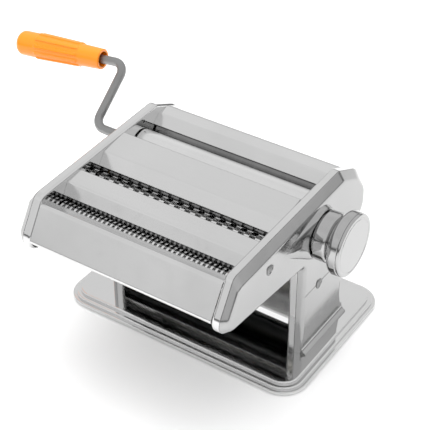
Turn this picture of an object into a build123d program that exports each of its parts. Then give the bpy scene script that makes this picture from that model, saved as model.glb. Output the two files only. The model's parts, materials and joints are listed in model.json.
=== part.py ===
from build123d import *
from math import atan2, ceil, cos, degrees, radians, sin, sqrt
import os

# Manual pasta roller: two smooth rollers, two cutting pairs, a crank and a gap knob.
# Millimetres. Origin at the centre of the standing plane, +Z up, +X along the rollers
# towards the knob, -Y towards the front where cut pasta comes out.

os.makedirs("parts", exist_ok=True)

# ---------------------------------------------------------------- driving sizes
roller_length = 150.0  # working width of every roller
end_play = 1.0  # from a roller's end to the side frame
sheet = 0.8  # covers and chute
frame_sheet = 1.0  # side frames
run_fit = 0.05  # radial clearance of a shaft in its bush
gap = 0.3  # clearance between separate bodies

# base tray
base_side = 17.4  # from a cover's face to the tray's end
base_width = 141.0
base_corner = 20.0
base_sheet = 0.8
base_lift = 0.5  # rim above the standing plane
base_steps = ((0.0, 3.4), (2.6, 5.7), (6.2, 8.0))  # (inset, top) of each pressed step
base_edge = 1.0  # rounding along each step
pad_radius = 7.0
pad_inset = (19.5, 18.5)  # from the tray's edges to a pad's middle
deck = base_steps[-1][1]

# side frames and covers
rim_depth = 6.4  # how far the frame's rim turns outwards
rim_bend = 2.2
cover_seam = 0.3
cover_depth = 5.4
cover_sheet = 0.9
face_round = 3.2  # rounding between a cover's face and its drawn side
foot_reach = 3.6  # out-turned foot of the cover
foot_thick = 1.2

# smooth rollers
smooth_radius = 12.5
rear_room = 18.4  # from the sliding roller to the back of the head
widest_gap = 2.5
gap_travel = 2.1
drive_axis = (0.5, 118.0)
roller_drop = 2.0  # the sliding roller sits this much lower
roller_teeth = 16
roller_tooth_angles = (5.9, 1.5)  # half-angles of a tooth at its root and its tip
journal_radius = 6.0
bush_wall = 2.0
bush_flange = 1.0

# cutters
cutter_radius = 9.0
cutter_bite = 2.0  # how far the rings pass between each other
cutter_journal = 5.0
cutter_bush_wall = 1.6
cutter_height = 112.0
cutter_tooth_angles = (7.4, 2.6)  # half-angles of a tooth at its root and its tip
medium_front_y = -51.4
fine_front_y = -95.1
medium_pitch = 9.0
fine_pitch = 4.0

# crank
rod_radius = 3.5
socket_depth = 15.0
arm_length = 55.0
arm_angle = 39.0
arm_offset = 33.0  # arm's plane beyond the cover's face
lean = 6.5  # inward lean of the grip
grip_start = 21.5
grip_length = 80.0
grip_radii = (8.2, 9.3, 11.0)  # open end, behind the ribs, body
grip_bore = 6.2

# gap knob
knob_axis = (-13.5, 112.0)
boss_height = 3.9
collar_radius = 18.6
knob_radius = 24.3
collar_length = 9.2
knob_depth = 22.6  # from the black gap to the seam
knob_gap = 0.9
cap_thick = 2.2
spindle_radius = 4.5
knob_pull = 4.0
knob_turn = 240.0

# ------------------------------------------------------------- derived positions
frame_x = roller_length / 2 + end_play  # inner face of each side frame
plate_x = frame_x + frame_sheet
rim_x = frame_x + rim_depth
seam_x = rim_x + cover_seam
face_x = seam_x + cover_depth
inner_face_x = face_x - cover_sheet
base_length = 2 * (face_x + base_side)
pad_spacing = (base_length - 2 * pad_inset[0], base_width - 2 * pad_inset[1])

slide_x = plate_x + gap
slide_thick = 2.0
gear_x = slide_x + slide_thick + 0.4
gear_width = 4.0

widest_centres = 2 * smooth_radius + widest_gap
slide_axis = (
    drive_axis[0] + sqrt(widest_centres**2 - roller_drop**2),
    drive_axis[1] - roller_drop,
)
rear_wall = slide_axis[0] + smooth_radius + rear_room
cutter_centres = 2 * cutter_radius - cutter_bite
cutter_core = cutter_radius - cutter_bite - 0.4
medium_rear_y = medium_front_y + cutter_centres
fine_rear_y = fine_front_y + cutter_centres
cutter_ys = (medium_front_y, medium_rear_y, fine_front_y, fine_rear_y)
driven_ys = (medium_rear_y, fine_rear_y)

# Side outline as (y, z, corner radius): the rim and the cover's seam follow it.
seam_outline = (
    (-114.3, 137.2, 7.0),
    (21.7, 141.6, 8.0),
    (rear_wall - 11.1, 129.1, 14.0),
    (rear_wall, 113.0, 14.0),
    (rear_wall + 0.5, 96.0, 12.0),
    (31.0, 44.0, 22.0),
    (30.6, 26.0, 22.0),
    (34.6, deck, 0.0),
    (-31.0, deck, 0.0),
    (-31.0, 88.6, 4.0),
    (-138.5, 98.6, 10.0),
)
# The cover's face is drawn in from the seam all round, most along the top.
face_outline = (
    (-115.2, 130.2, 6.5),
    (21.2, 134.6, 7.0),
    (rear_wall - 14.6, 123.6, 13.0),
    (rear_wall - 4.4, 109.6, 13.0),
    (rear_wall - 3.8, 96.6, 11.0),
    (27.0, 45.0, 22.0),
    (26.8, 27.0, 22.0),
    (31.2, deck, 0.0),
    (-29.2, deck, 0.0),
    (-29.2, 92.2, 4.6),
    (-133.4, 101.9, 8.0),
)

# Cross-sections of the sheet covers as (y, z) of their upper surface.
rear_path = (
    (16.4, 127.6),
    (23.7, 133.9),
    (rear_wall - 21.3, 133.9),
    (rear_wall - 8.8, 121.5),
    (rear_wall - 5.2, 112.0),
    (rear_wall - 4.8, 97.5),
    (26.6, 46.0),
    (26.0, 18.0),
)
middle_path = ((-16.6, 133.0), (-19.8, 138.6), (-44.2, 135.9), (-50.5, 127.1))
plate_path = ((-69.6, 131.0), (-71.9, 135.2), (-86.6, 133.9), (-91.7, 125.3))
front_path = (
    (-105.9, 125.6),
    (-107.5, 128.4),
    (-111.6, 129.6),
    (-116.3, 131.6),
    (-131.5, 107.4),
    (-127.6, 106.2),
)
chute_path = ((25.5, 88.5), (23.5, 84.5), (-26.6, 35.4), (-28.2, 31.0))

tie_rod_radius = 4.0
tie_rod_thread = 2.5
tie_rod_axes = ((-118.6, 110.0), (-65.2, 98.2), (-20.0, 84.0), (rear_wall - 12.6, 104.0))
nut_radius = 4.6
nut_thick = 3.0
tie_bar_axis = (28.5, 94.0)
tie_bar_radius = 4.0

comb_bar = (3.0, 4.6)
comb_reach = cutter_radius + 0.7
comb_drop = 6.0  # from the cutter's axis down to the fingers
comb_finger = 1.2


def flat(points):
    """The (y, z) of an outline, without its corner radii."""
    return [(y, z) for y, z, radius in points]


def radii(points):
    """The corner radii of an outline."""
    return [radius for y, z, radius in points]


def outline_face(points):
    """A filled outline with rounded corners."""
    with BuildSketch() as section:
        with BuildLine():
            FilletPolyline(*flat(points), radius=radii(points), close=True)
        make_face()
    return section.sketch


def sheet_face(points, bends, thickness):
    """A strip of sheet whose visible side runs along the points."""
    with BuildSketch() as section:
        with BuildLine():
            FilletPolyline(*points, radius=bends)
            offset(amount=thickness, side=Side.RIGHT)
        make_face()
    return section.sketch


def gear_face(teeth, root, tip, half_angles, first):
    """A spur gear of straight-flanked teeth; first is the angle of one tooth."""
    root_half, tip_half = half_angles
    corners = []
    for tooth in range(teeth):
        middle = first + tooth * 360.0 / teeth
        for radius, turn in (
            (root, -root_half),
            (tip, -tip_half),
            (tip, tip_half),
            (root, root_half),
        ):
            angle = radians(middle + turn)
            corners.append((radius * cos(angle), radius * sin(angle)))
    with BuildSketch() as section:
        with BuildLine():
            Polyline(*corners, close=True)
        make_face()
    return section.sketch


def ring_face(centres, width, core, tip):
    """Half-section of a cutting roller: rings of one width along a core."""
    half = roller_length / 2
    corners = [(-half, 0.0)]
    if centres[0] - width / 2 > -half:
        corners.append((-half, core))
    for centre in centres:
        left = max(centre - width / 2, -half)
        right = min(centre + width / 2, half)
        if left > -half:
            corners.append((left, core))
        corners.append((left, tip))
        corners.append((right, tip))
        if right < half:
            corners.append((right, core))
    if centres[-1] + width / 2 < half:
        corners.append((half, core))
    corners.append((half, 0.0))
    with BuildSketch() as section:
        with BuildLine():
            Polyline(*corners, close=True)
        make_face()
    return section.sketch


def along_x(y, z, x=0.0):
    """A plane facing +X whose origin is on a shaft."""
    return Plane(origin=(x, y, z), x_dir=(0, 1, 0), z_dir=(1, 0, 0))


# ------------------------------------------------------------------------- base
screw_radius = 1.6
screw_head = 1.6
screw_x = (frame_x + rim_x) / 2 + 0.4
foot_screws = [(sign * screw_x, y) for sign in (-1, 1) for y in (-18.0, 20.0)]

with BuildPart() as base_plate:
    for inset, top in base_steps:
        with BuildSketch(Plane.XY.offset(base_lift)):
            RectangleRounded(base_length - 2 * inset, base_width - 2 * inset, base_corner - inset)
        extrude(amount=top - base_lift)
        fillet(base_plate.edges().group_by(Axis.Z)[-1], radius=base_edge)
    for inset, top in base_steps:
        side = inset + base_sheet
        with BuildSketch(Plane.XY):
            RectangleRounded(base_length - 2 * side, base_width - 2 * side, base_corner - side)
        extrude(amount=top - base_sheet, mode=Mode.SUBTRACT)
    with Locations([(x, y, deck) for x, y in foot_screws]):
        Hole(screw_radius + 0.2, depth=2 * base_sheet)
base_plate.part.label = "base_plate"
export_step(base_plate.part, "parts/base_plate.step")

with BuildPart() as foot_pads:
    with BuildSketch():
        with GridLocations(*pad_spacing, 2, 2):
            Circle(pad_radius)
    extrude(amount=deck - base_sheet)
    fillet(foot_pads.edges().group_by(Axis.Z)[0], radius=0.8)
foot_pads.part.label = "foot_pads"
export_step(foot_pads.part, "parts/foot_pads.step")

with BuildPart() as base_screws:
    with BuildSketch(Plane.XY.offset(deck - base_sheet)):
        with Locations(foot_screws):
            Circle(2 * screw_radius)
    extrude(amount=-screw_head)
    with BuildSketch(Plane.XY.offset(deck - base_sheet)):
        with Locations(foot_screws):
            Circle(screw_radius)
    extrude(amount=base_sheet + frame_sheet + 1.6)
base_screws.part.label = "base_screws"
export_step(base_screws.part, "parts/base_screws.step")

# ----------------------------------------------------------------- side frames
slot_length = gap_travel + 0.6
bush_outer = journal_radius + run_fit + bush_wall
cutter_bush_outer = cutter_journal + run_fit + cutter_bush_wall
spindle_tail = 2.5
oil_hole = (drive_axis[0] + 4.6, 135.4)
oil_hole_radius = 1.2

for side, sign in (("left", -1), ("right", 1)):
    with BuildPart() as side_frame:
        with BuildSketch(Plane.YZ.offset(sign * frame_x)):
            add(outline_face(seam_outline))
        extrude(amount=sign * rim_depth)
        plate_edges = side_frame.faces().sort_by(Axis.X)[0 if sign > 0 else -1].edges()
        fillet(plate_edges.filter_by_position(Axis.Z, deck + 0.1, 200), radius=rim_bend)
        open_face = side_frame.faces().sort_by(Axis.X)[-1 if sign > 0 else 0]
        offset(amount=-frame_sheet, openings=open_face)
        holes = Plane.YZ.offset(sign * (frame_x - 1))
        with BuildSketch(holes):
            with Locations(drive_axis):
                Circle(bush_outer)
            with Locations((slide_axis[0] - gap_travel / 2, slide_axis[1])):
                SlotCenterToCenter(slot_length, 2 * (journal_radius + 1.2))
            with Locations((tie_bar_axis[0] - gap_travel / 2, tie_bar_axis[1])):
                SlotCenterToCenter(slot_length, 2 * (tie_bar_radius + gap))
            with Locations([(y, cutter_height) for y in cutter_ys]):
                Circle(cutter_bush_outer)
            with Locations(tie_rod_axes):
                Circle(tie_rod_thread + 0.1)
            if sign > 0:
                with Locations(knob_axis):
                    Circle(spindle_tail + run_fit)
            else:
                with Locations(oil_hole):
                    Circle(oil_hole_radius)
        extrude(amount=sign * 3, mode=Mode.SUBTRACT)
        with Locations([(x, y, deck + 4) for x, y in foot_screws if x * sign > 0]):
            Cylinder(screw_radius, 12, mode=Mode.SUBTRACT)
    name = "side_frame_" + side
    side_frame.part.label = name
    export_step(side_frame.part, f"parts/{name}.step")

# ------------------------------------------------------------------ side covers
boss_x = face_x + boss_height
boss_tip = (-59.0, 120.4)
boss_root_radius = 20.6
boss_draw = 1.7

socket_hole = journal_radius + 0.6
cutter_socket_radius = 5.6
cutter_socket_hole = cutter_socket_radius + 0.6
foot_ends = (-29.2, 31.2)
foot_cove = 7.0
crease_height = 62.0
crease_ends = (-29.2, 20.0)


def boss_face(circle, tip_radius, reach):
    """A round boss drawn out to a point; reach is how far out the point lies."""
    tip = (
        knob_axis[0] + (boss_tip[0] - knob_axis[0]) * reach,
        knob_axis[1] + (boss_tip[1] - knob_axis[1]) * reach,
    )
    with BuildSketch() as section:
        with Locations(knob_axis):
            Circle(circle)
        with Locations(tip):
            Circle(tip_radius)
        make_hull()
    return section.sketch


cover_screw_spots = {
    "left": ((-78.1, 126.4), (41.5, 80.0), (-7.4, 30.0)),
    "right": ((-78.1, 122.6), (-7.4, 62.0)),
}

for side, sign in (("left", -1), ("right", 1)):
    with BuildPart() as side_cover:
        with BuildSketch(Plane.YZ.offset(sign * seam_x)):
            add(outline_face(seam_outline))
        with BuildSketch(Plane.YZ.offset(sign * face_x)):
            add(outline_face(face_outline))
        loft(ruled=True)
        face_edges = side_cover.faces().sort_by(Axis.X)[-1 if sign > 0 else 0].edges()
        fillet(face_edges.filter_by_position(Axis.Z, deck + 0.1, 200), radius=face_round)
        for x, outline in ((seam_x, seam_outline), (inner_face_x, face_outline)):
            with BuildSketch(Plane.YZ.offset(sign * x)):
                add(outline_face(outline))
                offset(amount=-cover_sheet, kind=Kind.INTERSECTION, mode=Mode.REPLACE)
        loft(ruled=True, mode=Mode.SUBTRACT)
        # The leg's foot flares out in a cove and lies on the deck.
        with BuildSketch(Plane.XZ.offset(-foot_ends[1])):
            with BuildLine():
                inside = (sign * (inner_face_x), deck)
                toe = (sign * (face_x + foot_reach), deck)
                toe_top = (sign * (face_x + foot_reach), deck + foot_thick)
                cove_top = (sign * face_x, deck + foot_cove)
                Polyline((sign * inner_face_x, deck + foot_cove), inside, toe, toe_top)
                cove_middle = (
                    sign * (face_x + 0.28 * foot_reach),
                    deck + foot_thick + 0.28 * (foot_cove - foot_thick),
                )
                ThreePointArc(toe_top, cove_middle, cove_top)
                Line(cove_top, (sign * inner_face_x, deck + foot_cove))
            make_face()
        extrude(amount=foot_ends[1] - foot_ends[0])
        # A pressed crease crosses the leg at the foot of the head.
        with BuildSketch(Plane.XZ.offset(-crease_ends[1])):
            with Locations((sign * face_x, crease_height)):
                Rectangle(0.9, 0.9, rotation=45)
        extrude(amount=crease_ends[1] - crease_ends[0], mode=Mode.SUBTRACT)
        if sign > 0:
            for x, circle, tip_radius, reach, mode in (
                (0.0, boss_root_radius, 1.6, 1.0, Mode.ADD),
                (-cover_sheet, boss_root_radius - 1.2, 0.8, 0.9, Mode.SUBTRACT),
            ):
                with BuildSketch(Plane.YZ.offset(face_x + x)):
                    add(boss_face(circle, tip_radius, reach))
                with BuildSketch(Plane.YZ.offset(boss_x + x)):
                    add(boss_face(circle - boss_draw, tip_radius, 0.3 * reach))
                loft(ruled=True, mode=mode)
            through = [(knob_axis, spindle_radius + 0.6)]
        else:
            through = [(drive_axis, socket_hole)]
            through += [((y, cutter_height), cutter_socket_hole) for y in driven_ys]
        for spot in cover_screw_spots[side]:
            through.append((spot, screw_radius + 0.1))
        for spot, radius in through:
            with BuildSketch(Plane.YZ.offset(sign * seam_x)):
                with Locations(spot):
                    Circle(radius)
            extrude(amount=sign * 20, mode=Mode.SUBTRACT)
    name = "side_cover_" + side
    side_cover.part.label = name
    export_step(side_cover.part, f"parts/{name}.step")

with BuildPart() as cover_screws:
    for side, sign in (("left", -1), ("right", 1)):
        for y, z in cover_screw_spots[side]:
            with BuildSketch(Plane.YZ.offset(sign * face_x)):
                with Locations((y, z)):
                    Circle(2.6)
            extrude(amount=sign * 1.1)
            with BuildSketch(Plane.YZ.offset(sign * (plate_x + 0.1))):
                with Locations((y, z)):
                    Circle(screw_radius)
            extrude(amount=sign * (face_x - plate_x - 0.1))
    heads = cover_screws.edges().filter_by(GeomType.CIRCLE)
    fillet(
        heads.filter_by_position(Axis.X, face_x + 1.0, face_x + 1.2)
        + heads.filter_by_position(Axis.X, -face_x - 1.2, -face_x - 1.0),
        radius=0.6,
    )
cover_screws.part.label = "cover_screws"
export_step(cover_screws.part, "parts/cover_screws.step")

index_radius = 14.4
index_thick = 0.5
index_holes = 9
index_dimple = 0.45
index_pin_radius = 1.2
index_pin_depth = 4.0
with BuildPart() as index_plate:
    with BuildSketch(Plane.YZ.offset(boss_x)):
        with Locations(knob_axis):
            Circle(index_radius + 1.6)
            Circle(spindle_radius + run_fit, mode=Mode.SUBTRACT)
    extrude(amount=index_thick)
    for hole in range(index_holes):
        angle = radians(90 + hole * knob_turn / (index_holes - 1))
        spot = (
            boss_x + index_thick,
            knob_axis[0] + index_radius * cos(angle),
            knob_axis[1] + index_radius * sin(angle),
        )
        with Locations(spot):
            Sphere(index_dimple, mode=Mode.SUBTRACT)
index_plate.part.label = "index_plate"
export_step(index_plate.part, "parts/index_plate.step")

# ----------------------------------------------------------------- sheet covers
sheet_parts = (
    ("rear_cover", rear_path, (3.0, 7.0, 9.0, 9.0, 12.0, 12.0)),
    ("middle_cover", middle_path, (1.6, 1.6)),
    ("cutter_cover", plate_path, (1.6, 1.6)),
    ("front_cover", front_path, (1.0, 2.0, 1.8, 1.6)),
    ("dough_chute", chute_path, (3.0, 2.0)),
)
for name, path, bends in sheet_parts:
    with BuildPart() as sheet_part:
        with BuildSketch(Plane.YZ):
            add(sheet_face(path, bends, sheet))
        extrude(amount=frame_x, both=True)
    sheet_part.part.label = name
    export_step(sheet_part.part, f"parts/{name}.step")

with BuildPart() as tie_rods:
    for y, z in tie_rod_axes:
        with BuildSketch(Plane.YZ):
            with Locations((y, z)):
                Circle(tie_rod_radius)
        extrude(amount=frame_x, both=True)
        with BuildSketch(Plane.YZ):
            with Locations((y, z)):
                Circle(tie_rod_thread)
        extrude(amount=plate_x + nut_thick + 0.4, both=True)
tie_rods.part.label = "tie_rods"
export_step(tie_rods.part, "parts/tie_rods.step")

with BuildPart() as tie_rod_nuts:
    for sign in (-1, 1):
        with BuildSketch(Plane.YZ.offset(sign * plate_x)):
            with Locations(tie_rod_axes):
                RegularPolygon(nut_radius, 6)
                Circle(tie_rod_thread, mode=Mode.SUBTRACT)
        extrude(amount=sign * nut_thick)
tie_rod_nuts.part.label = "tie_rod_nuts"
export_step(tie_rod_nuts.part, "parts/tie_rod_nuts.step")

# ------------------------------------------------------------ bushes and rollers
with BuildPart() as frame_bushes:
    for sign in (-1, 1):
        for spots, bore, wall in (
            ([drive_axis], journal_radius, bush_wall),
            ([(y, cutter_height) for y in cutter_ys], cutter_journal, cutter_bush_wall),
        ):
            with BuildSketch(Plane.YZ.offset(sign * frame_x)):
                with Locations(spots):
                    Circle(bore + run_fit + wall)
                    Circle(bore + run_fit, mode=Mode.SUBTRACT)
            extrude(amount=sign * (frame_sheet + bush_flange))
            with BuildSketch(Plane.YZ.offset(sign * plate_x)):
                with Locations(spots):
                    Circle(bore + run_fit + wall + 0.8)
                    Circle(bore + run_fit, mode=Mode.SUBTRACT)
            extrude(amount=sign * bush_flange)
frame_bushes.part.label = "frame_bushes"
export_step(frame_bushes.part, "parts/frame_bushes.step")

roller_end = roller_length / 2
socket_mouth = face_x + 0.5
slot_width = 2.4
slot_depth = 5.0
socket_fit = 0.08
socket_lead = 0.4  # the socket is wider as far in as the slot goes
socket_steps = ((rod_radius + socket_fit, socket_depth), (rod_radius + socket_lead, slot_depth))

with BuildPart() as drive_roller:
    with BuildSketch(along_x(*drive_axis, -roller_end)):
        Circle(smooth_radius)
    extrude(amount=roller_length)
    fillet(drive_roller.edges(), radius=0.5)
    with BuildSketch(along_x(*drive_axis, -socket_mouth)):
        Circle(journal_radius)
    extrude(amount=socket_mouth + plate_x + bush_flange + 0.1)
    for radius, depth in socket_steps:
        with BuildSketch(along_x(*drive_axis, -socket_mouth)):
            Circle(radius)
        extrude(amount=depth, mode=Mode.SUBTRACT)
    with BuildSketch(along_x(*drive_axis, -socket_mouth)):
        Rectangle(2 * journal_radius - 2.2, slot_width)
    extrude(amount=slot_depth, mode=Mode.SUBTRACT)
drive_roller.part.label = "drive_roller"
export_step(drive_roller.part, "parts/drive_roller.step")

with BuildPart() as sliding_roller:
    with BuildSketch(along_x(*slide_axis, -roller_end)):
        Circle(smooth_radius)
    extrude(amount=roller_length)
    fillet(sliding_roller.edges(), radius=0.5)
    with BuildSketch(along_x(*slide_axis, -gear_x - gear_width)):
        Circle(journal_radius)
    extrude(amount=2 * gear_x + gear_width + 0.6)
sliding_roller.part.label = "sliding_roller"
export_step(sliding_roller.part, "parts/sliding_roller.step")

# Roller gears mesh at every gap: long teeth, cut for the closed distance.
closed_centres = sqrt((slide_axis[0] - gap_travel - drive_axis[0]) ** 2 + roller_drop**2)
roller_tip = widest_centres / 2 + 1.3
roller_root = closed_centres - roller_tip - 0.35
mesh_angle = degrees(atan2(slide_axis[1] - drive_axis[1], slide_axis[0] - drive_axis[0]))
half_pitch = 180.0 / roller_teeth
for name, axis, first in (
    ("drive_roller_gear", drive_axis, mesh_angle),
    ("sliding_roller_gear", slide_axis, mesh_angle + 180.0 + half_pitch),
):
    with BuildPart() as roller_gear:
        with BuildSketch(along_x(*axis, -gear_x - gear_width)):
            add(gear_face(roller_teeth, roller_root, roller_tip, roller_tooth_angles, first))
            Circle(journal_radius, mode=Mode.SUBTRACT)
        extrude(amount=gear_width)
    roller_gear.part.label = name
    export_step(roller_gear.part, f"parts/{name}.step")

# ----------------------------------------------------------------- cutting pairs
cutter_teeth = 14
cutter_tip = cutter_centres / 2 + 1.15
cutter_root = cutter_centres - cutter_tip - 0.3
ring_clear = 0.3

for pair, pitch, front_y in (
    ("medium", medium_pitch, medium_front_y),
    ("fine", fine_pitch, fine_front_y),
):
    ring = pitch / 2 - ring_clear
    count = ceil(roller_length / pitch)
    centres = [(n - (count - 1) / 2) * pitch for n in range(count)]
    between = [centre + pitch / 2 for centre in centres[:-1]]
    for place, spots, y in (
        ("front", centres, front_y),
        ("rear", between, front_y + cutter_centres),
    ):
        driven = place == "rear"
        with BuildPart() as cutter:
            with BuildSketch(Plane(origin=(0, y, cutter_height), x_dir=(1, 0, 0), z_dir=(0, -1, 0))):
                add(ring_face(spots, ring, cutter_core, cutter_radius))
            revolve(axis=Axis((0, y, cutter_height), (1, 0, 0)))
            left_end = socket_mouth if driven else gear_x + gear_width
            with BuildSketch(along_x(y, cutter_height, -left_end)):
                Circle(cutter_journal)
            extrude(amount=left_end + gear_x)
            if driven:
                with BuildSketch(along_x(y, cutter_height, -socket_mouth)):
                    Circle(cutter_socket_radius)
                extrude(amount=socket_mouth - gear_x - gear_width)
                for radius, depth in socket_steps:
                    with BuildSketch(along_x(y, cutter_height, -socket_mouth)):
                        Circle(radius)
                    extrude(amount=depth, mode=Mode.SUBTRACT)
                with BuildSketch(along_x(y, cutter_height, -socket_mouth)):
                    Rectangle(2 * cutter_socket_radius - 1.6, slot_width)
                extrude(amount=slot_depth, mode=Mode.SUBTRACT)
        name = f"{pair}_cutter_{place}"
        cutter.part.label = name
        export_step(cutter.part, f"parts/{name}.step")

        first = 180.0 + 180.0 / cutter_teeth if driven else 0.0
        with BuildPart() as cutter_gear:
            with BuildSketch(along_x(y, cutter_height, -gear_x - gear_width)):
                add(gear_face(cutter_teeth, cutter_root, cutter_tip, cutter_tooth_angles, first))
                Circle(cutter_journal, mode=Mode.SUBTRACT)
            extrude(amount=gear_width)
        name = f"{pair}_gear_{place}"
        cutter_gear.part.label = name
        export_step(cutter_gear.part, f"parts/{name}.step")

        # A comb strips the strands: its fingers reach between the rings.
        away = 1 if driven else -1
        others = between if not driven else centres[1:-1]
        low = cutter_height - comb_drop
        with BuildPart() as comb:
            with BuildSketch(Plane.XY.offset(low - comb_bar[1] + comb_finger)):
                with Locations((0, y + away * (comb_reach + comb_bar[0] / 2))):
                    Rectangle(2 * frame_x, comb_bar[0])
            extrude(amount=comb_bar[1])
            tip = sqrt((cutter_core + 0.4) ** 2 - (comb_drop - comb_finger) ** 2)
            with BuildSketch(Plane.XY.offset(low)):
                with Locations([(x, y + away * (tip + comb_reach) / 2) for x in others]):
                    Rectangle(ring - 0.2, comb_reach - tip)
            extrude(amount=comb_finger)
        name = f"{pair}_comb_{place}"
        comb.part.label = name
        export_step(comb.part, f"parts/{name}.step")

# Scraper blades keep dough off the smooth rollers.
blade_thick = 0.8
for name, axis, away in (
    ("roller_scraper_front", drive_axis, -1),
    ("roller_scraper_rear", slide_axis, 1),
):
    y = axis[0] + away * 5.0
    top = axis[1] - sqrt((smooth_radius + gap) ** 2 - 5.0**2)
    with BuildPart() as scraper:
        with BuildSketch(Plane.YZ):
            with BuildLine():
                toe = (y + away * 5.0, top - 7.0)
                FilletPolyline((y, top), (y, top - 7.0), toe, radius=1.2)
                offset(amount=blade_thick, side=Side.LEFT if away > 0 else Side.RIGHT)
            make_face()
        extrude(amount=frame_x, both=True)
    scraper.part.label = name
    export_step(scraper.part, f"parts/{name}.step")

# ------------------------------------------------------- sliding roller carriage
slide_bush_outer = journal_radius + run_fit + 1.6
cam_x = plate_x + bush_flange + gap
cam_rest = 7.0
finger_y = knob_axis[0] - cam_rest - 0.25
finger_width = 4.0
arm_low = 96.6
arm_width = 4.6

for side, sign in (("left", -1), ("right", 1)):
    with BuildPart() as slide_plate:
        with BuildSketch(Plane.YZ.offset(sign * slide_x)):
            with Locations(slide_axis):
                Circle(slide_bush_outer + 2.2)
            with Locations(tie_bar_axis):
                Circle(tie_bar_radius + 2.6)
            make_hull()
            if sign > 0:
                with BuildLine():
                    Polyline(
                        (tie_bar_axis[0], arm_low),
                        (finger_y - finger_width, arm_low),
                        (finger_y - finger_width, knob_axis[1] + 8),
                        (finger_y, knob_axis[1] + 8),
                        (finger_y, arm_low + arm_width),
                        (tie_bar_axis[0], arm_low + arm_width),
                        close=True,
                    )
                make_face()
            with Locations(slide_axis):
                Circle(slide_bush_outer, mode=Mode.SUBTRACT)
            with Locations(tie_bar_axis):
                Circle(tie_bar_radius - 1.0, mode=Mode.SUBTRACT)
        extrude(amount=sign * slide_thick)
    name = "slide_plate_" + side
    slide_plate.part.label = name
    export_step(slide_plate.part, f"parts/{name}.step")

with BuildPart() as slide_tie_bar:
    with BuildSketch(along_x(*tie_bar_axis, -slide_x)):
        Circle(tie_bar_radius)
    extrude(amount=2 * slide_x)
    with BuildSketch(along_x(*tie_bar_axis, -slide_x - slide_thick)):
        Circle(tie_bar_radius - 1.0)
    extrude(amount=2 * (slide_x + slide_thick))
slide_tie_bar.part.label = "slide_tie_bar"
export_step(slide_tie_bar.part, "parts/slide_tie_bar.step")

with BuildPart() as slide_bushes:
    for sign in (-1, 1):
        with BuildSketch(Plane.YZ.offset(sign * slide_x)):
            with Locations(slide_axis):
                Circle(slide_bush_outer)
                Circle(journal_radius + run_fit, mode=Mode.SUBTRACT)
        extrude(amount=sign * slide_thick)
slide_bushes.part.label = "slide_bushes"
export_step(slide_bushes.part, "parts/slide_bushes.step")

# ---------------------------------------------------------------------- gap knob
back_x = boss_x + index_thick + knob_gap
seat_x = boss_x + knob_depth
web_x = back_x + 2.2
web_thick = 2.6
washer_x = seat_x - 6.2
washer = (7.6, 1.0)  # radius and thickness
end_screw = (3.4, 1.8)
well_radius = 11.5
crease = 3.4  # depth of the groove behind the grip of the knob
seam_radius = knob_radius - 0.6
cap_radius = seam_radius - 0.1

with BuildPart() as knob_spindle:
    with BuildSketch(along_x(*knob_axis, frame_x)):
        Circle(spindle_tail)
    extrude(amount=slide_x - frame_x + 0.1)
    with BuildSketch(along_x(*knob_axis, slide_x)):
        Circle(spindle_radius)
    extrude(amount=back_x - slide_x - 0.2)
    with BuildSketch(along_x(*knob_axis, back_x - 0.2)):
        RegularPolygon(spindle_radius, 6)
    extrude(amount=washer_x - back_x + 0.2)
knob_spindle.part.label = "knob_spindle"
export_step(knob_spindle.part, "parts/knob_spindle.step")

# The cam's radius grows evenly with the turn, then falls back.
with BuildPart() as gap_cam:
    with BuildSketch(along_x(*knob_axis, cam_x)):
        with BuildLine():
            rise = []
            for step in range(25):
                turn = step * 15.0
                grow = min(turn, knob_turn) / knob_turn
                if turn > knob_turn:
                    grow = (360.0 - turn) / (360.0 - knob_turn)
                radius = cam_rest + gap_travel * grow
                angle = radians(180.0 - turn)
                rise.append((radius * cos(angle), radius * sin(angle)))
            Spline(*rise[:-1], periodic=True)
        make_face()
        Circle(spindle_radius, mode=Mode.SUBTRACT)
    extrude(amount=slide_thick)
gap_cam.part.label = "gap_cam"
export_step(gap_cam.part, "parts/gap_cam.step")

with BuildPart() as spindle_screw:
    with BuildSketch(along_x(*knob_axis, washer_x)):
        Circle(washer[0])
    extrude(amount=washer[1])
    with BuildSketch(along_x(*knob_axis, washer_x + washer[1])):
        Circle(end_screw[0])
    extrude(amount=end_screw[1])
spindle_screw.part.label = "spindle_screw"
export_step(spindle_screw.part, "parts/spindle_screw.step")

knob_plane = Plane(origin=(0, *knob_axis), x_dir=(1, 0, 0), z_dir=(0, -1, 0))
waist_x = back_x + collar_length
with BuildPart() as knob:
    with BuildSketch(knob_plane):
        with BuildLine():
            FilletPolyline(
                (back_x, 0.0),
                (back_x, collar_radius),
                (waist_x, collar_radius),
                (waist_x + 1.6, collar_radius - crease),
                (waist_x + 5.0, knob_radius),
                (seat_x, seam_radius),
                (seat_x, 0.0),
                radius=[0, 0.8, 3.0, 0.4, 3.6, 1.2, 0],
                close=True,
            )
        make_face()
    revolve(axis=Axis((0, *knob_axis), (1, 0, 0)))
    with BuildSketch(along_x(*knob_axis, seat_x)):
        Circle(knob_radius - 4.0)
    extrude(amount=-2.0, mode=Mode.SUBTRACT)
    with BuildSketch(along_x(*knob_axis, seat_x)):
        Circle(well_radius)
    extrude(amount=-(seat_x - web_x - web_thick), mode=Mode.SUBTRACT)
    with BuildSketch(along_x(*knob_axis, back_x)):
        Circle(well_radius)
    extrude(amount=web_x - back_x, mode=Mode.SUBTRACT)
    with BuildSketch(along_x(*knob_axis, back_x)):
        RegularPolygon(spindle_radius + 0.12, 6)
    extrude(amount=10, mode=Mode.SUBTRACT)
    with BuildSketch(along_x(knob_axis[0], knob_axis[1] + index_radius, back_x)):
        Circle(index_pin_radius)
    extrude(amount=index_pin_depth, mode=Mode.SUBTRACT)
knob.part.label = "knob"
export_step(knob.part, "parts/knob.step")

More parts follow.
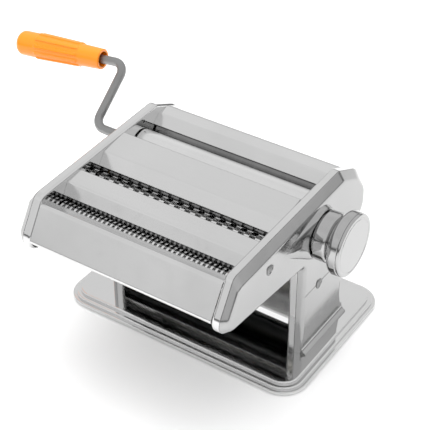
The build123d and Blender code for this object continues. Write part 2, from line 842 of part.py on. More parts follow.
with BuildPart() as index_pin:
    with BuildSketch(along_x(knob_axis[0], knob_axis[1] + index_radius, back_x - 0.5)):
        Circle(index_pin_radius)
    extrude(amount=index_pin_depth + 0.5)
index_pin.part.label = "index_pin"
export_step(index_pin.part, "parts/index_pin.step")

with BuildPart() as knob_cap:
    with BuildSketch(knob_plane):
        with BuildLine():
            FilletPolyline(
                (seat_x + cap_thick, 0.0),
                (seat_x + cap_thick, knob_radius - 4.6),
                (seat_x + cap_thick - 0.3, knob_radius - 4.3),
                (seat_x + cap_thick - 0.3, knob_radius - 3.5),
                (seat_x + cap_thick, knob_radius - 3.2),
                (seat_x + cap_thick, cap_radius),
                (seat_x, cap_radius),
                (seat_x, knob_radius - 4.1),
                (seat_x - 1.8, knob_radius - 4.1),
                (seat_x - 1.8, 0.0),
                radius=[0, 0.1, 0.1, 0.1, 0.1, 1.3, 0.3, 0, 0.3, 0],
                close=True,
            )
        make_face()
    revolve(axis=Axis((0, *knob_axis), (1, 0, 0)))
knob_cap.part.label = "knob_cap"
export_step(knob_cap.part, "parts/knob_cap.step")

spring_wire = 0.5
spring_radius = 6.3
spring_low = web_x + web_thick + spring_wire
spring_high = washer_x - spring_wire
with BuildPart() as knob_spring:
    with BuildLine():
        coil = Helix(
            pitch=(spring_high - spring_low) / 4,
            height=spring_high - spring_low,
            radius=spring_radius,
            center=(spring_low, *knob_axis),
            direction=(1, 0, 0),
        )
    with BuildSketch(Plane(origin=coil @ 0, z_dir=coil % 0)):
        Circle(spring_wire)
    sweep(is_frenet=True)
knob_spring.part.label = "knob_spring"
export_step(knob_spring.part, "parts/knob_spring.step")

# ------------------------------------------------------------------------- crank
arm_x = -face_x - arm_offset
arm_y = cos(radians(arm_angle))
arm_z = sin(radians(arm_angle))
shank_end = (-socket_mouth + socket_depth - 1.0, *drive_axis)
elbow = (arm_x, *drive_axis)
shoulder = Vector(
    arm_x,
    drive_axis[0] + arm_length * arm_y,
    drive_axis[1] + arm_length * arm_z,
)
inward = sin(radians(lean))
grip_way = Vector(-cos(radians(lean)), -inward * arm_y, -inward * arm_z)
grip_end = grip_start + grip_length
cavity = (grip_end - 11.0, grip_end - 4.0)
cavity_radius = 6.0
retainer = (5.4, 1.2)  # radius and thickness
mouth_depth = 8.0
end_wall = 6.0


def along_grip(distance):
    """A plane across the grip's axis, a distance out from the shoulder."""
    return Plane(origin=shoulder + grip_way * distance, z_dir=grip_way)


pin_radius = 1.0
half_pin = cutter_socket_radius - 1.2
pin_plane = Plane(
    origin=(-socket_mouth + slot_depth - pin_radius - 0.2, drive_axis[0] - half_pin, drive_axis[1]),
    z_dir=(0, 1, 0),
)
rod_end = shoulder + grip_way * (cavity[1] - 1.5)
with BuildPart() as crank_arm:
    with BuildLine():
        FilletPolyline(shank_end, elbow, shoulder, rod_end, radius=9.0)
    with BuildSketch(Plane(origin=shank_end, z_dir=(-1, 0, 0))):
        Circle(rod_radius)
    sweep()
    with BuildSketch(pin_plane):
        Circle(pin_radius)
    extrude(amount=2 * half_pin, mode=Mode.SUBTRACT)
crank_arm.part.label = "crank_arm"
export_step(crank_arm.part, "parts/crank_arm.step")

with BuildPart() as crank_pin:
    with BuildSketch(pin_plane):
        Circle(pin_radius)
    extrude(amount=2 * half_pin)
crank_pin.part.label = "crank_pin"
export_step(crank_pin.part, "parts/crank_pin.step")

with BuildPart() as grip_retainer:
    with BuildSketch(along_grip(cavity[0] + 2.4)):
        Circle(retainer[0])
        Circle(rod_radius, mode=Mode.SUBTRACT)
    extrude(amount=retainer[1])
grip_retainer.part.label = "grip_retainer"
export_step(grip_retainer.part, "parts/grip_retainer.step")

rib_count = 10
rib_height = 1.0
rib_angles = (12.0, 8.0)
rib_start = 19.5
rib_end = 61.0
side_way = Vector(0, -arm_z, arm_y)
with BuildPart() as crank_grip:
    with BuildSketch(Plane(origin=shoulder + grip_way * grip_start, x_dir=grip_way, z_dir=side_way)):
        with BuildLine():
            FilletPolyline(
                (0, 0),
                (0, grip_radii[0]),
                (rib_start, grip_radii[1]),
                (rib_end, grip_radii[2] - rib_height),
                (grip_length, grip_radii[2] - rib_height),
                (grip_length, 0),
                radius=[0, 0.5, 30, 30, 4.0, 0],
                close=True,
            )
        make_face()
    revolve(axis=Axis(tuple(shoulder), tuple(grip_way)))
    for distance, radius in ((rib_start, grip_radii[1]), (rib_end, grip_radii[2] - rib_height)):
        with BuildSketch(along_grip(grip_start + distance)):
            add(gear_face(rib_count, radius - 1.5, radius + rib_height, rib_angles, 0))
    loft(ruled=True)
    with BuildSketch(along_grip(grip_start)):
        Circle(grip_bore)
    extrude(amount=mouth_depth, mode=Mode.SUBTRACT)
    with BuildSketch(along_grip(grip_start)):
        Circle(rod_radius + 0.1)
    extrude(amount=grip_length - end_wall, mode=Mode.SUBTRACT)
    with BuildSketch(along_grip(cavity[0])):
        Circle(cavity_radius)
    extrude(amount=cavity[1] - cavity[0], mode=Mode.SUBTRACT)
crank_grip.part.label = "crank_grip"
export_step(crank_grip.part, "parts/crank_grip.step")
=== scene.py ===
# %% [markdown]
# # A hand-cranked pasta roller
# The machine's shape comes from CAD and is already to size. This lesson gives it
# its finishes, a few pieces that are better made as meshes, and a small studio.
# The frame is loaded first, because every place below is worked out from it.

# %% Load the frame
import json
import math

import bmesh
import bpy
from mathutils import Matrix, Vector


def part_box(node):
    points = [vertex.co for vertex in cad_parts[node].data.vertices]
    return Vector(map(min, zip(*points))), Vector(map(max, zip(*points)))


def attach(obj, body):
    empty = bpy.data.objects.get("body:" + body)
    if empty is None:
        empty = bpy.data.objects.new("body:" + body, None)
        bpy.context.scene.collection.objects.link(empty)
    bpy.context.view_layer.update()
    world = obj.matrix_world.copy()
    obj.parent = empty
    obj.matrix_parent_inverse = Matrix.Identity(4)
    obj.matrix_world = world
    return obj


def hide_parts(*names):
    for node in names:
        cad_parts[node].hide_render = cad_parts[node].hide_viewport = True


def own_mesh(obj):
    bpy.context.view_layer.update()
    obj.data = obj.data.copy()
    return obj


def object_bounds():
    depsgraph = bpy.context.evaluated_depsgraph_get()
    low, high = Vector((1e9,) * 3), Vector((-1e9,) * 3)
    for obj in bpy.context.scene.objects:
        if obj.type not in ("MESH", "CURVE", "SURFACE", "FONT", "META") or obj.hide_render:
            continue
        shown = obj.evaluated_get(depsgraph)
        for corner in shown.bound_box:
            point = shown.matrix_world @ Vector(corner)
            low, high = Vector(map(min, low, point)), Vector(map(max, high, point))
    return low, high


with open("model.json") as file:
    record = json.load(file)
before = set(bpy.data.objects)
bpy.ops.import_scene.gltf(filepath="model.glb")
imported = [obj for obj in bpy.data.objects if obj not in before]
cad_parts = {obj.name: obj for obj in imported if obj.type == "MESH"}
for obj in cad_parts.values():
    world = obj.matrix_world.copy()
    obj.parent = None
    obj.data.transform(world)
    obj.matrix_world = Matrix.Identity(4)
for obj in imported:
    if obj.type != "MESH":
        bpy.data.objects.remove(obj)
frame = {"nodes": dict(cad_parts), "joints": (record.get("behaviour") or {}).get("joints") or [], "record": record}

MM = 0.001
cad_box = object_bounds()
scene = bpy.context.scene
record = frame["record"]
slot_of = {row["node"]: row["material_slot"] for row in record["subparts"]}
joints = {joint["name"]: joint for joint in frame["joints"]}

# %% [markdown]
# ## The camera
# A long lens from well above flattens the box of the machine a little, as a
# catalogue picture does. A camera could be aimed with a constraint; plain numbers
# are kept here because nothing in the scene moves it.

# %% Camera
camera_data = bpy.data.cameras.new("studio_camera")
camera_data.lens = 106.37
camera_data.sensor_width = 36.0
camera_data.clip_end = 20.0
camera = bpy.data.objects.new("studio_camera", camera_data)
camera.location = (0.4200, -0.6411, 0.6554)
camera.rotation_euler = (math.radians(53.19), 0.0, math.radians(33.74))
scene.collection.objects.link(camera)
scene.camera = camera
print("camera", tuple(round(value, 3) for value in camera.location))

# %% [markdown]
# ## A helper for node trees
# Every finish here is a small graph of shader nodes. Writing each node by hand is
# long, so `put` makes a node, sets its options, and fills or links its inputs.

# %% Node helper
def put(tree, kind, inputs=None, **options):
    """A new node; inputs are numbers, colours or the outputs of other nodes."""
    node = tree.nodes.new(kind)
    for name, value in options.items():
        setattr(node, name, value)
    for name, value in (inputs or {}).items():
        if isinstance(value, bpy.types.NodeSocket):
            tree.links.new(value, node.inputs[name])
        else:
            node.inputs[name].default_value = value
    return node


def maths(tree, operation, *values, clamp=False):
    """One math node; gives back its output."""
    inputs = dict(enumerate(values))
    return put(tree, "ShaderNodeMath", inputs, operation=operation, use_clamp=clamp).outputs[0]


def remap(tree, value, low, high, to_low=0.0, to_high=1.0):
    """A clamped change of range."""
    inputs = {"Value": value, "From Min": low, "From Max": high,
              "To Min": to_low, "To Max": to_high}
    return put(tree, "ShaderNodeMapRange", inputs, clamp=True).outputs["Result"]


def blend_colour(tree, factor, first, second):
    """A colour mix; first and second are colours or the outputs of other nodes."""
    node = put(tree, "ShaderNodeMix", data_type="RGBA")
    factor_in, first_in, second_in = node.inputs[0], node.inputs[6], node.inputs[7]
    tree.links.new(factor, factor_in)
    for socket, value in ((first_in, first), (second_in, second)):
        if isinstance(value, bpy.types.NodeSocket):
            tree.links.new(value, socket)
        else:
            socket.default_value = (*value, 1.0)
    return node.outputs[2]


def new_group(name, inputs, outputs):
    """An empty shader group with named sockets, and its input and output nodes."""
    group = bpy.data.node_groups.new(name, "ShaderNodeTree")
    for label, kind, value in inputs:
        group.interface.new_socket(label, in_out="INPUT", socket_type=kind).default_value = value
    for label, kind in outputs:
        group.interface.new_socket(label, in_out="OUTPUT", socket_type=kind)
    start = group.nodes.new("NodeGroupInput")
    end = group.nodes.new("NodeGroupOutput")
    return group, start.outputs, end.inputs


# %% [markdown]
# ## Brushed grain
# Rolled steel carries fine parallel scratches from its polishing belt. An image
# could show them, but a noise stretched a hundred times along one direction does
# it at any distance. The group also gives a slow drift for uneven polish.

# %% Grain group
grain_group, given, result = new_group(
    "polishing_grain",
    [("Stretch", "NodeSocketVector", (1.0, 1.0, 1.0)), ("Scale", "NodeSocketFloat", 900.0)],
    [("Streaks", "NodeSocketFloat"), ("Drift", "NodeSocketFloat")],
)
place = put(grain_group, "ShaderNodeTexCoord").outputs["Object"]
stretched = put(grain_group, "ShaderNodeVectorMath", {0: place, 1: given["Stretch"]},
                operation="MULTIPLY").outputs[0]
fine = put(grain_group, "ShaderNodeTexNoise",
           {"Vector": stretched, "Scale": given["Scale"], "Detail": 3.0, "Roughness": 0.6})
grain_group.links.new(remap(grain_group, fine.outputs["Fac"], 0.3, 0.7), result["Streaks"])
slow = put(grain_group, "ShaderNodeTexNoise",
           {"Vector": place, "Scale": 14.0, "Detail": 2.0, "Distortion": 0.6})
grain_group.links.new(remap(grain_group, slow.outputs["Fac"], 0.3, 0.7), result["Drift"])
print("group", grain_group.name)

# %% [markdown]
# ## Edge wear and painted edge highlight
# Handling polishes edges first, and the finishes lighten edges further as a painted
# highlight. Cavity masks from vertex colours need a dense mesh; the Bevel node rounds
# the normal near an edge instead, and where it differs from the true normal there is
# an edge. Its normal also softens corners.

# %% Edge group
edge_group, given, result = new_group(
    "edge_wear_and_highlight",
    [("Radius", "NodeSocketFloat", 0.0006)],
    [("Edge", "NodeSocketFloat"), ("Soft Normal", "NodeSocketVector")],
)
# The Edge mask serves both wear and a painted edge highlight in the finishes.
bevel = put(edge_group, "ShaderNodeBevel", {"Radius": given["Radius"]}, samples=4).outputs[0]
face = put(edge_group, "ShaderNodeNewGeometry").outputs["Normal"]
same = put(edge_group, "ShaderNodeVectorMath", {0: bevel, 1: face}, operation="DOT_PRODUCT")
edge_group.links.new(remap(edge_group, same.outputs["Value"], 0.995, 0.86), result["Edge"])
edge_group.links.new(bevel, result["Soft Normal"])
print("group", edge_group.name)

# %% [markdown]
# ## Handling marks
# Polished steel is never equally clear: faint prints and wiped dust make it
# rougher in soft patches, with a few hairlines. Both are noises, the hairlines
# a noise cut to its thin middle band.

# %% Marks group
marks_group, given, result = new_group(
    "handling_marks",
    [("Scale", "NodeSocketFloat", 60.0)],
    [("Haze", "NodeSocketFloat"), ("Hairlines", "NodeSocketFloat")],
)
place = put(marks_group, "ShaderNodeTexCoord").outputs["Object"]
patches = put(marks_group, "ShaderNodeTexNoise",
              {"Vector": place, "Scale": given["Scale"], "Detail": 4.0, "Distortion": 1.2})
marks_group.links.new(remap(marks_group, patches.outputs["Fac"], 0.48, 0.72), result["Haze"])
lines = put(marks_group, "ShaderNodeTexNoise",
            {"Vector": place, "Scale": given["Scale"], "Detail": 1.0, "Distortion": 3.0})
middle = maths(marks_group, "ABSOLUTE", maths(marks_group, "SUBTRACT", lines.outputs["Fac"], 0.5))
marks_group.links.new(remap(marks_group, middle, 0.0025, 0.0), result["Hairlines"])
print("group", marks_group.name)


# %% [markdown]
# ## A metal finish
# All the steels share one graph with different numbers: the grain moves colour,
# roughness and a very shallow bump, the haze adds roughness, and the edges are
# painted brighter, a painted highlight that also stands for wear. The Principled
# shader stays outside the groups, so it can be exported.

# %% Metal finish
grain_share = 0.35  # how much of the tone is grain; the rest is slow drift
highlight_and_wear_gain = 1.12  # edges, painted as highlight and as wear, are this much brighter than the light tone
highlight_and_wear_strength = 0.6


def effect(tree, group, **sockets):
    """One of the shared groups with its inputs filled; gives back its outputs."""
    node = put(tree, "ShaderNodeGroup", node_tree=group)
    for socket, value in sockets.items():
        node.inputs[socket].default_value = value
    return node.outputs


def relief(tree, shader, streaks, edges, depth):
    """A shallow bump from the grain, over the softened corners."""
    bumped = put(tree, "ShaderNodeBump", {
        "Height": streaks["Streaks"],
        "Distance": depth,
        "Strength": 1.0,
        "Normal": edges["Soft Normal"],
    })
    tree.links.new(bumped.outputs["Normal"], shader.inputs["Normal"])


def metal(name, light, dark, roughness, grain, stretch, scale=900.0, haze=0.05, edge=0.0005,
          bump=0.000001, tint=(1.0, 1.0, 1.0)):
    """A metal whose tone runs from dark to light with its grain."""
    material = bpy.data.materials.new(name)
    material.use_nodes = True
    tree = material.node_tree
    shader = tree.nodes["Principled BSDF"]
    shader.inputs["Metallic"].default_value = 1.0
    streaks = effect(tree, grain_group, Stretch=stretch, Scale=scale)
    edges = effect(tree, edge_group, Radius=edge)
    marks = effect(tree, marks_group)
    tone = maths(tree, "ADD", maths(tree, "MULTIPLY", streaks["Streaks"], grain_share),
                 maths(tree, "MULTIPLY", streaks["Drift"], 1.0 - grain_share))
    polish = blend_colour(tree, tone, [dark * part for part in tint],
                          [light * part for part in tint])
    # Painted highlight: the edge mask lightens the colour, standing for light on rounded edges as well as for
    # wear.
    highlight_and_wear_level = min(1.0, light * highlight_and_wear_gain)
    highlit_and_rubbed_colour = blend_colour(tree, maths(tree, "MULTIPLY", edges["Edge"], highlight_and_wear_strength), polish,
                        [highlight_and_wear_level * part for part in tint])
    tree.links.new(highlit_and_rubbed_colour, shader.inputs["Base Color"])
    rough = maths(tree, "MULTIPLY_ADD", streaks["Streaks"], grain, roughness)
    rough = maths(tree, "MULTIPLY_ADD", marks["Haze"], haze, rough)
    rough = maths(tree, "MULTIPLY_ADD", marks["Hairlines"], 0.5 * haze, rough)
    tree.links.new(rough, shader.inputs["Roughness"])
    relief(tree, shader, streaks, edges, bump)
    return material


# %% [markdown]
# ## A moulded finish
# Plastic and rubber are the same graph with metal turned off: a flow mark in the
# colour, a fine moulded grain in the bump, and paler edges, partly wear and partly
# painted highlight.

# %% Moulded finish
moulded_haze = 0.12


def moulded(name, colour, deep, roughness, grain_size, bump, edge=0.0005, coat=0.0, highlight_and_wear_share=0.25):
    """A plastic or rubber with a moulded skin."""
    material = bpy.data.materials.new(name)
    material.use_nodes = True
    tree = material.node_tree
    shader = tree.nodes["Principled BSDF"]
    shader.inputs["Coat Weight"].default_value = coat
    shader.inputs["Coat Roughness"].default_value = 0.12
    streaks = effect(tree, grain_group, Scale=grain_size)
    edges = effect(tree, edge_group, Radius=edge)
    marks = effect(tree, marks_group)
    body = blend_colour(tree, streaks["Drift"], deep, colour)
    # Paler edges: partly wear, partly a painted highlight.
    highlit_and_rubbed_colour = blend_colour(tree, maths(tree, "MULTIPLY", edges["Edge"], highlight_and_wear_share), body,
                        [min(1.0, part * 1.3 + 0.03) for part in colour])
    tree.links.new(highlit_and_rubbed_colour, shader.inputs["Base Color"])
    rough = maths(tree, "MULTIPLY_ADD", marks["Haze"], moulded_haze, roughness)
    tree.links.new(rough, shader.inputs["Roughness"])
    relief(tree, shader, streaks, edges, bump)
    return material


# %% [markdown]
# ## One finish for each material slot
# The sheets are brushed along the rollers, so the stretch is small along X and
# large across it. The side plates and the tray are polished brighter than the
# side covers, and the crank rod has a dull plated skin.

# %% Finishes
along_rollers = (0.03, 1.0, 1.0)
along_sides = (1.0, 0.05, 1.0)
around_rollers = (1.0, 0.06, 0.06)
finishes = {
    "polished_steel": metal("polished_steel", 0.72, 0.66, 0.13, 0.04, along_rollers, scale=2200.0),
    "brushed_steel": metal("brushed_steel", 0.62, 0.50, 0.26, 0.14, along_rollers),
    "chrome": metal("chrome", 0.51, 0.45, 0.06, 0.02, (1.0, 1.0, 1.0), haze=0.03),
    "roller_steel": metal("roller_steel", 0.80, 0.70, 0.15, 0.08, around_rollers, edge=0.0002),
    "zinc": metal("zinc", 0.40, 0.30, 0.44, 0.12, (1.0, 1.0, 1.0), scale=420.0, bump=0.00002),
    "gear_steel": metal("gear_steel", 0.42, 0.30, 0.30, 0.16, (1.0, 1.0, 1.0), scale=1500.0),
    "bronze": metal("bronze", 0.62, 0.48, 0.34, 0.16, (1.0, 1.0, 1.0), tint=(1.0, 0.72, 0.36)),
    "grip_plastic": moulded("grip_plastic", (1.0, 0.29, 0.004), (1.0, 0.26, 0.003),
                            0.28, 700.0, 0.000004, coat=0.25),
    "rubber": moulded("rubber", (0.03, 0.03, 0.032), (0.018, 0.018, 0.019),
                      0.62, 1600.0, 0.00004),
    "comb_plastic": moulded("comb_plastic", (0.80, 0.79, 0.74), (0.72, 0.70, 0.64),
                            0.38, 900.0, 0.00001),
}
mirror_steel = metal("mirror_steel", 0.72, 0.66, 0.045, 0.015, along_sides,
                     scale=2200.0, haze=0.03)
# Painted shade: the same roller steel darkened, for rollers and cutters deep in the machine.
painted_shade_steel = metal("painted_shade_steel", 0.26, 0.18, 0.16, 0.08, around_rollers, edge=0.0002)
cover_steel = metal("cover_steel", 0.46, 0.40, 0.12, 0.03, along_sides, scale=2200.0)
print("finishes", sorted(finishes))

# %% [markdown]
# ## Dress every CAD node
# Each node takes the finish of its material slot. A few take a variant: the side
# plates and tray are clearer mirrors, the side covers greyer, and the rollers deep
# in the machine are painted darker, a painted shade, since less light reaches them
# than a small studio gives.

# %% Finish for every node
special = {
    "side_frame_left": mirror_steel,
    "side_frame_right": mirror_steel,
    "base_plate": mirror_steel,
    "side_cover_left": cover_steel,
    "side_cover_right": cover_steel,
    "sliding_roller": painted_shade_steel,
    "medium_cutter_rear": painted_shade_steel,
    "fine_cutter_rear": painted_shade_steel,
}
for node_name, node in frame["nodes"].items():
    material = special.get(node_name, finishes[slot_of[node_name]])
    node.data.materials.clear()
    node.data.materials.append(material)
print("finished nodes", len(frame["nodes"]))

# %% [markdown]
# ## Making meshes
# Three kinds of piece are better as meshes than as CAD: the moulded grip with its
# soft ribs, the screws with their cross recesses, and the spring, which must
# squash. Each is rings of points joined by faces, so one helper makes them all.

# %% Ring helper
def ring_mesh(name, rings, closed_ends=True):
    """A mesh that joins rings of equally many points; a ring may be one point."""
    shape = bmesh.new()
    made = [[shape.verts.new(point) for point in ring] for ring in rings]
    for first, second in zip(made, made[1:]):
        count = max(len(first), len(second))
        for index in range(count):
            after = (index + 1) % count
            corners = [first[index % len(first)], first[after % len(first)],
                       second[after % len(second)], second[index % len(second)]]
            shape.faces.new(list(dict.fromkeys(corners)))
    if closed_ends:
        for ring in (made[0], made[-1]):
            if len(ring) > 2:
                shape.faces.new(ring)
    bmesh.ops.recalc_face_normals(shape, faces=shape.faces)
    mesh = bpy.data.meshes.new(name)
    shape.to_mesh(mesh)
    shape.free()
    mesh.shade_smooth()
    mesh.set_sharp_from_angle(angle=math.radians(40.0))
    piece = bpy.data.objects.new(name, mesh)
    scene.collection.objects.link(piece)
    return piece


def dress(piece, body, slot, *nodes):
    """Gives a piece its finish and body, and lets it stand for CAD nodes."""
    piece.data.materials.append(finishes[slot])
    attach(piece, body)
    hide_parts(*nodes)
    print(piece.name, "faces", len(piece.data.polygons))


def cross_axes(axis):
    """Two directions square to an axis."""
    side = axis.orthogonal().normalized()
    return side, axis.cross(side)


# %% [markdown]
# ## The grip
# The grip is a moulded sleeve: narrow and open at the crank's shoulder, wider and
# domed at the far end, with ten flat ribs along its middle that end in small
# steps. A lathe with a radius that also depends on the angle gives the ribs, and
# the inside follows the rod with a pocket for the washer that keeps it on.

# %% Grip
spin = joints["grip_spin"]
shoulder = Vector(spin["pos_m"])
outward = Vector(spin["axis"]).normalized()
reach = []
for corner in frame["nodes"]["crank_grip"].data.vertices:
    offset = corner.co - shoulder
    along = offset.dot(outward)
    reach.append((along, (offset - outward * along).length))
grip_start = min(along for along, radius in reach)
grip_length = max(along for along, radius in reach) - grip_start
grip_radius = max(radius for along, radius in reach)
mouth_radius = max(radius for along, radius in reach if along < grip_start + MM)
rib_count = 10
rib_height = 1.0 * MM
rib_from, rib_to = 0.245, 0.765
step = 0.9 * MM
core_radius = grip_radius - rib_height
dome = 5.0 * MM  # how far the rounded end reaches
station_gap = 0.6 * MM
grip_side, grip_up = cross_axes(outward)


def grip_outline(along):
    """The grip's radius without ribs, by distance from its open end."""
    share = min(along / (rib_to * grip_length), 1.0)
    radius = mouth_radius + (core_radius - mouth_radius) * share ** 0.92
    left = grip_length - along
    if left < dome:
        radius -= dome * (1.0 - math.sqrt(max(0.0, 1.0 - (1.0 - left / dome) ** 2)))
    return radius


def rib_share(along):
    """How far the ribs stand out at a distance along the grip, from 0 to 1."""
    rise = (along - rib_from * grip_length) / step
    fall = (rib_to * grip_length - along) / step
    return max(0.0, min(1.0, rise, fall))


def grip_ring(along, radius, ribs, points=200):
    """One ring of the grip, with its ribs."""
    middle = shoulder + outward * (grip_start + along)
    ring = []
    for index in range(points):
        turn = 2.0 * math.pi * index / points
        wave = max(0.0, min(1.0, 0.5 + 1.6 * math.cos(rib_count * turn)))
        lobe = wave * wave * (3.0 - 2.0 * wave)
        stand = radius + ribs * rib_height * lobe
        ring.append(middle + (grip_side * math.cos(turn) + grip_up * math.sin(turn)) * stand)
    return ring


rod_radius = 3.6 * MM
bore = ((0.0, 6.2), (8.0, 6.2), (8.0, 3.6))
pocket = (grip_length - 11.0 * MM, grip_length - 4.0 * MM)
inside = [(pocket[1], 6.0 * MM), (pocket[0], 6.0 * MM), (pocket[0], rod_radius)]
inside += [(along * MM, radius * MM) for along, radius in reversed(bore)]
rings = [[shoulder + outward * (grip_start + pocket[1])]]
rings += [grip_ring(along, radius, 0.0) for along, radius in inside]
lip = 0.5 * MM
rings.append(grip_ring(0.0, mouth_radius - lip, 0.0))
station_count = int(grip_length / station_gap) - 2
stations = [lip + index * 0.6 * MM for index in range(station_count)]
rings += [grip_ring(along, grip_outline(along), rib_share(along)) for along in stations]
for index in range(1, 9):
    left = dome * (1.0 - math.sin(0.5 * math.pi * index / 9)) * 0.3
    rings.append(grip_ring(grip_length - left, grip_outline(grip_length - left), 0.0))
rings.append([shoulder + outward * (grip_start + grip_length)])
grip = ring_mesh("grip_sleeve", rings)
dress(grip, "grip", "grip_plastic", "crank_grip")

# %% [markdown]
# ## The cover screws
# Small pan-head screws hold the side covers. Their heads carry a cross recess,
# which is cut with a Boolean modifier and then applied, because a recess drawn
# only by a bump would vanish from the side.

# %% Cover screws
def apply_modifiers(piece):
    """Makes the modifiers' result the piece's own mesh."""
    graph = bpy.context.evaluated_depsgraph_get()
    mesh = bpy.data.meshes.new_from_object(piece.evaluated_get(graph))
    piece.modifiers.clear()
    piece.data = mesh


screw_spots = []
for corner in frame["nodes"]["cover_screws"].data.vertices:
    for spot in screw_spots:
        if (spot[0] - corner.co).yz.length < 4.0 * MM and spot[0].x * corner.co.x > 0.0:
            spot.append(corner.co.copy())
            break
    else:
        screw_spots.append([corner.co.copy()])
head_height = 1.1 * MM
recess_long, recess_wide, recess_deep = 3.0, 0.62, 1.5
head_rings = ((0.0, 1.1), (0.9, 1.08), (1.7, 0.95), (2.3, 0.66), (2.6, 0.3), (2.6, 0.0))
shank_radius = 1.6 * MM


def screw_ring(x, centre, radius, points=36):
    """A ring across a screw's axis."""
    centre_y, centre_z = centre
    return [(x, centre_y + radius * math.cos(2.0 * math.pi * index / points),
             centre_z + radius * math.sin(2.0 * math.pi * index / points))
            for index in range(points)]


screw_parts = []
for number, corners in enumerate(screw_spots):
    low = Vector([min(corner[axis] for corner in corners) for axis in range(3)])
    high = Vector([max(corner[axis] for corner in corners) for axis in range(3)])
    side = 1.0 if low.x > 0.0 else -1.0
    tip = high.x if side > 0.0 else low.x
    tail = low.x if side > 0.0 else high.x
    face = tip - side * head_height
    centre = (low.y + high.y) / 2.0, (low.z + high.z) / 2.0
    rings = [[(tip, *centre)]]
    rings += [screw_ring(face + side * out * MM, centre, radius * MM)
              for radius, out in head_rings if radius > 0.0]
    rings += [screw_ring(face, centre, shank_radius), screw_ring(tail, centre, shank_radius),
              [(tail, *centre)]]
    screw = ring_mesh(f"screw_part_{number}", rings, closed_ends=False)
    cutter_shape = bmesh.new()
    for long_way, wide_way in ((recess_long, recess_wide), (recess_wide, recess_long)):
        block = Matrix.Translation((tip, *centre)) @ Matrix.Diagonal(
            (recess_deep * MM, long_way * MM, wide_way * MM, 1.0))
        bmesh.ops.create_cube(cutter_shape, size=1.0, matrix=block)
    cutter_mesh = bpy.data.meshes.new("recess")
    cutter_shape.to_mesh(cutter_mesh)
    cutter_shape.free()
    cutter = bpy.data.objects.new("recess", cutter_mesh)
    scene.collection.objects.link(cutter)
    cut = screw.modifiers.new("recess", "BOOLEAN")
    cut.object = cutter
    cut.solver = "EXACT"
    cut.use_self = True
    apply_modifiers(screw)
    bpy.data.objects.remove(cutter)
    screw_parts.append(screw)

joined = bmesh.new()
for screw in screw_parts:
    joined.from_mesh(screw.data)
    bpy.data.objects.remove(screw)
screw_mesh = bpy.data.meshes.new("pan_head_screws")
joined.to_mesh(screw_mesh)
joined.free()
screw_mesh.shade_smooth()
screw_mesh.set_sharp_from_angle(angle=math.radians(35.0))
screws = bpy.data.objects.new("pan_head_screws", screw_mesh)
scene.collection.objects.link(screws)
dress(screws, "root", slot_of["cover_screws"], "cover_screws")

# %% [markdown]
# ## The knob spring
# The knob is pulled out against a spring before it turns. A helix of rings keeps
# its wire round.

# %% Knob spring
low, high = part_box("knob_spring")
wire = 0.5 * MM
coil_radius = (high.z - low.z) / 2.0 - wire
coil_middle = (low + high) / 2.0
turns = 4
wire_points = 10
coil_steps = 44 * turns
coil_start, coil_end = low.x + wire, high.x - wire
rings = []
for index in range(coil_steps + 1):
    share = index / coil_steps
    turn = 2.0 * math.pi * turns * share
    outwards = Vector((0.0, math.cos(turn), math.sin(turn)))
    middle = Vector((coil_start + (coil_end - coil_start) * share, coil_middle.y, coil_middle.z))
    middle += outwards * coil_radius
    rings.append([middle + (outwards * math.cos(bend) + Vector((math.sin(bend), 0.0, 0.0))) * wire
                  for bend in (2.0 * math.pi * corner / wire_points
                               for corner in range(wire_points))])
spring = ring_mesh("coil_spring", rings)
dress(spring, "spindle", "zinc", "knob_spring")
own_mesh(spring)

# %% [markdown]
# ## The studio
# Polished steel shows the room more than itself. A white sweep and a pale sky
# keep it bright, and one narrow dark band above the horizon gives it something to
# reflect. Boxes of light could do it alone; a banded sky is smoother.

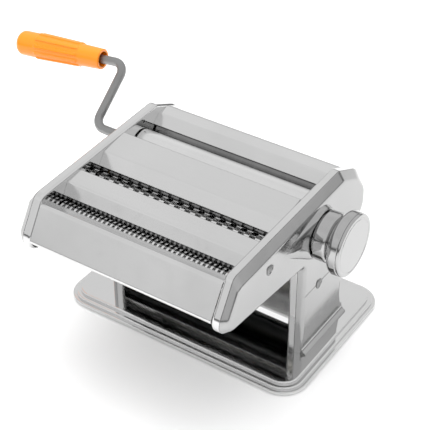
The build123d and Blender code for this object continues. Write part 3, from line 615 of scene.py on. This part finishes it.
# %% Sky
world = bpy.data.worlds.new("studio_sky")
world.use_nodes = True
scene.world = world
tree = world.node_tree
direction = put(tree, "ShaderNodeTexCoord").outputs["Generated"]
height = put(tree, "ShaderNodeSeparateXYZ", {"Vector": direction}).outputs["Z"]
bands = put(tree, "ShaderNodeValToRGB", {"Fac": maths(tree, "MULTIPLY_ADD", height, 0.5, 0.5)})
sky_stops = (
    (0.00, 0.90), (0.50, 0.85), (0.525, 0.35), (0.555, 0.12), (0.585, 0.42),
    (0.62, 0.84), (0.78, 0.92), (0.90, 0.84), (1.00, 0.90),
)
ramp = bands.color_ramp
while len(ramp.elements) < len(sky_stops):
    ramp.elements.new(0.5)
for stop, (position, level) in zip(ramp.elements, sky_stops):
    stop.position = position
    stop.color = (level, level, level, 1.0)
tree.links.new(bands.outputs["Color"], tree.nodes["Background"].inputs["Color"])
tree.nodes["Background"].inputs["Strength"].default_value = 1.0
scene.view_settings.view_transform = "Standard"
print("sky stops", len(sky_stops))

# %% [markdown]
# ## The floor
# A white sheet with a faint fibre in its tone stands for a paper sweep.

# %% Floor
floor_mesh = bpy.data.meshes.new("floor")
shape = bmesh.new()
bmesh.ops.create_grid(shape, x_segments=8, y_segments=8, size=3.0)
shape.to_mesh(floor_mesh)
shape.free()
floor = bpy.data.objects.new("floor", floor_mesh)
floor.location = (0.0, 0.0, cad_box[0][2])
scene.collection.objects.link(floor)
paper = bpy.data.materials.new("paper_sweep")
paper.use_nodes = True
tree = paper.node_tree
fibres = put(tree, "ShaderNodeTexNoise", {"Scale": 40.0, "Detail": 4.0}).outputs["Fac"]
level = remap(tree, fibres, 0.3, 0.7, 0.93, 0.96)
tree.links.new(put(tree, "ShaderNodeCombineColor", {0: level, 1: level, 2: level}).outputs[0],
               tree.nodes["Principled BSDF"].inputs["Base Color"])
tree.nodes["Principled BSDF"].inputs["Roughness"].default_value = 0.9
floor_mesh.materials.append(paper)
print("floor at", round(floor.location.z, 4))


# %% [markdown]
# ## The lamps
# Three soft boxes light the plastic and the floor. They are hidden from mirrors:
# the steel already reflects the sky, and seeing both would burn it out.

# %% Lamps
def soft_box(name, place, target, width, height, power):
    """A rectangular lamp aimed at a point."""
    data = bpy.data.lights.new(name, "AREA")
    data.shape = "RECTANGLE"
    data.size = width
    data.size_y = height
    data.energy = power
    lamp = bpy.data.objects.new(name, data)
    lamp.location = place
    lamp.rotation_euler = (Vector(target) - Vector(place)).to_track_quat("-Z", "Y").to_euler()
    lamp.visible_glossy = False
    scene.collection.objects.link(lamp)
    return lamp


middle = (0.0, -0.03, 0.08)
soft_box("top_box", (-0.2, 0.3, 1.5), middle, 1.6, 1.6, 18.0)
soft_box("front_box", (-0.5, -1.3, 0.9), middle, 0.9, 0.7, 7.0)
soft_box("side_box", (1.4, 0.2, 0.7), middle, 0.6, 0.8, 3.0)
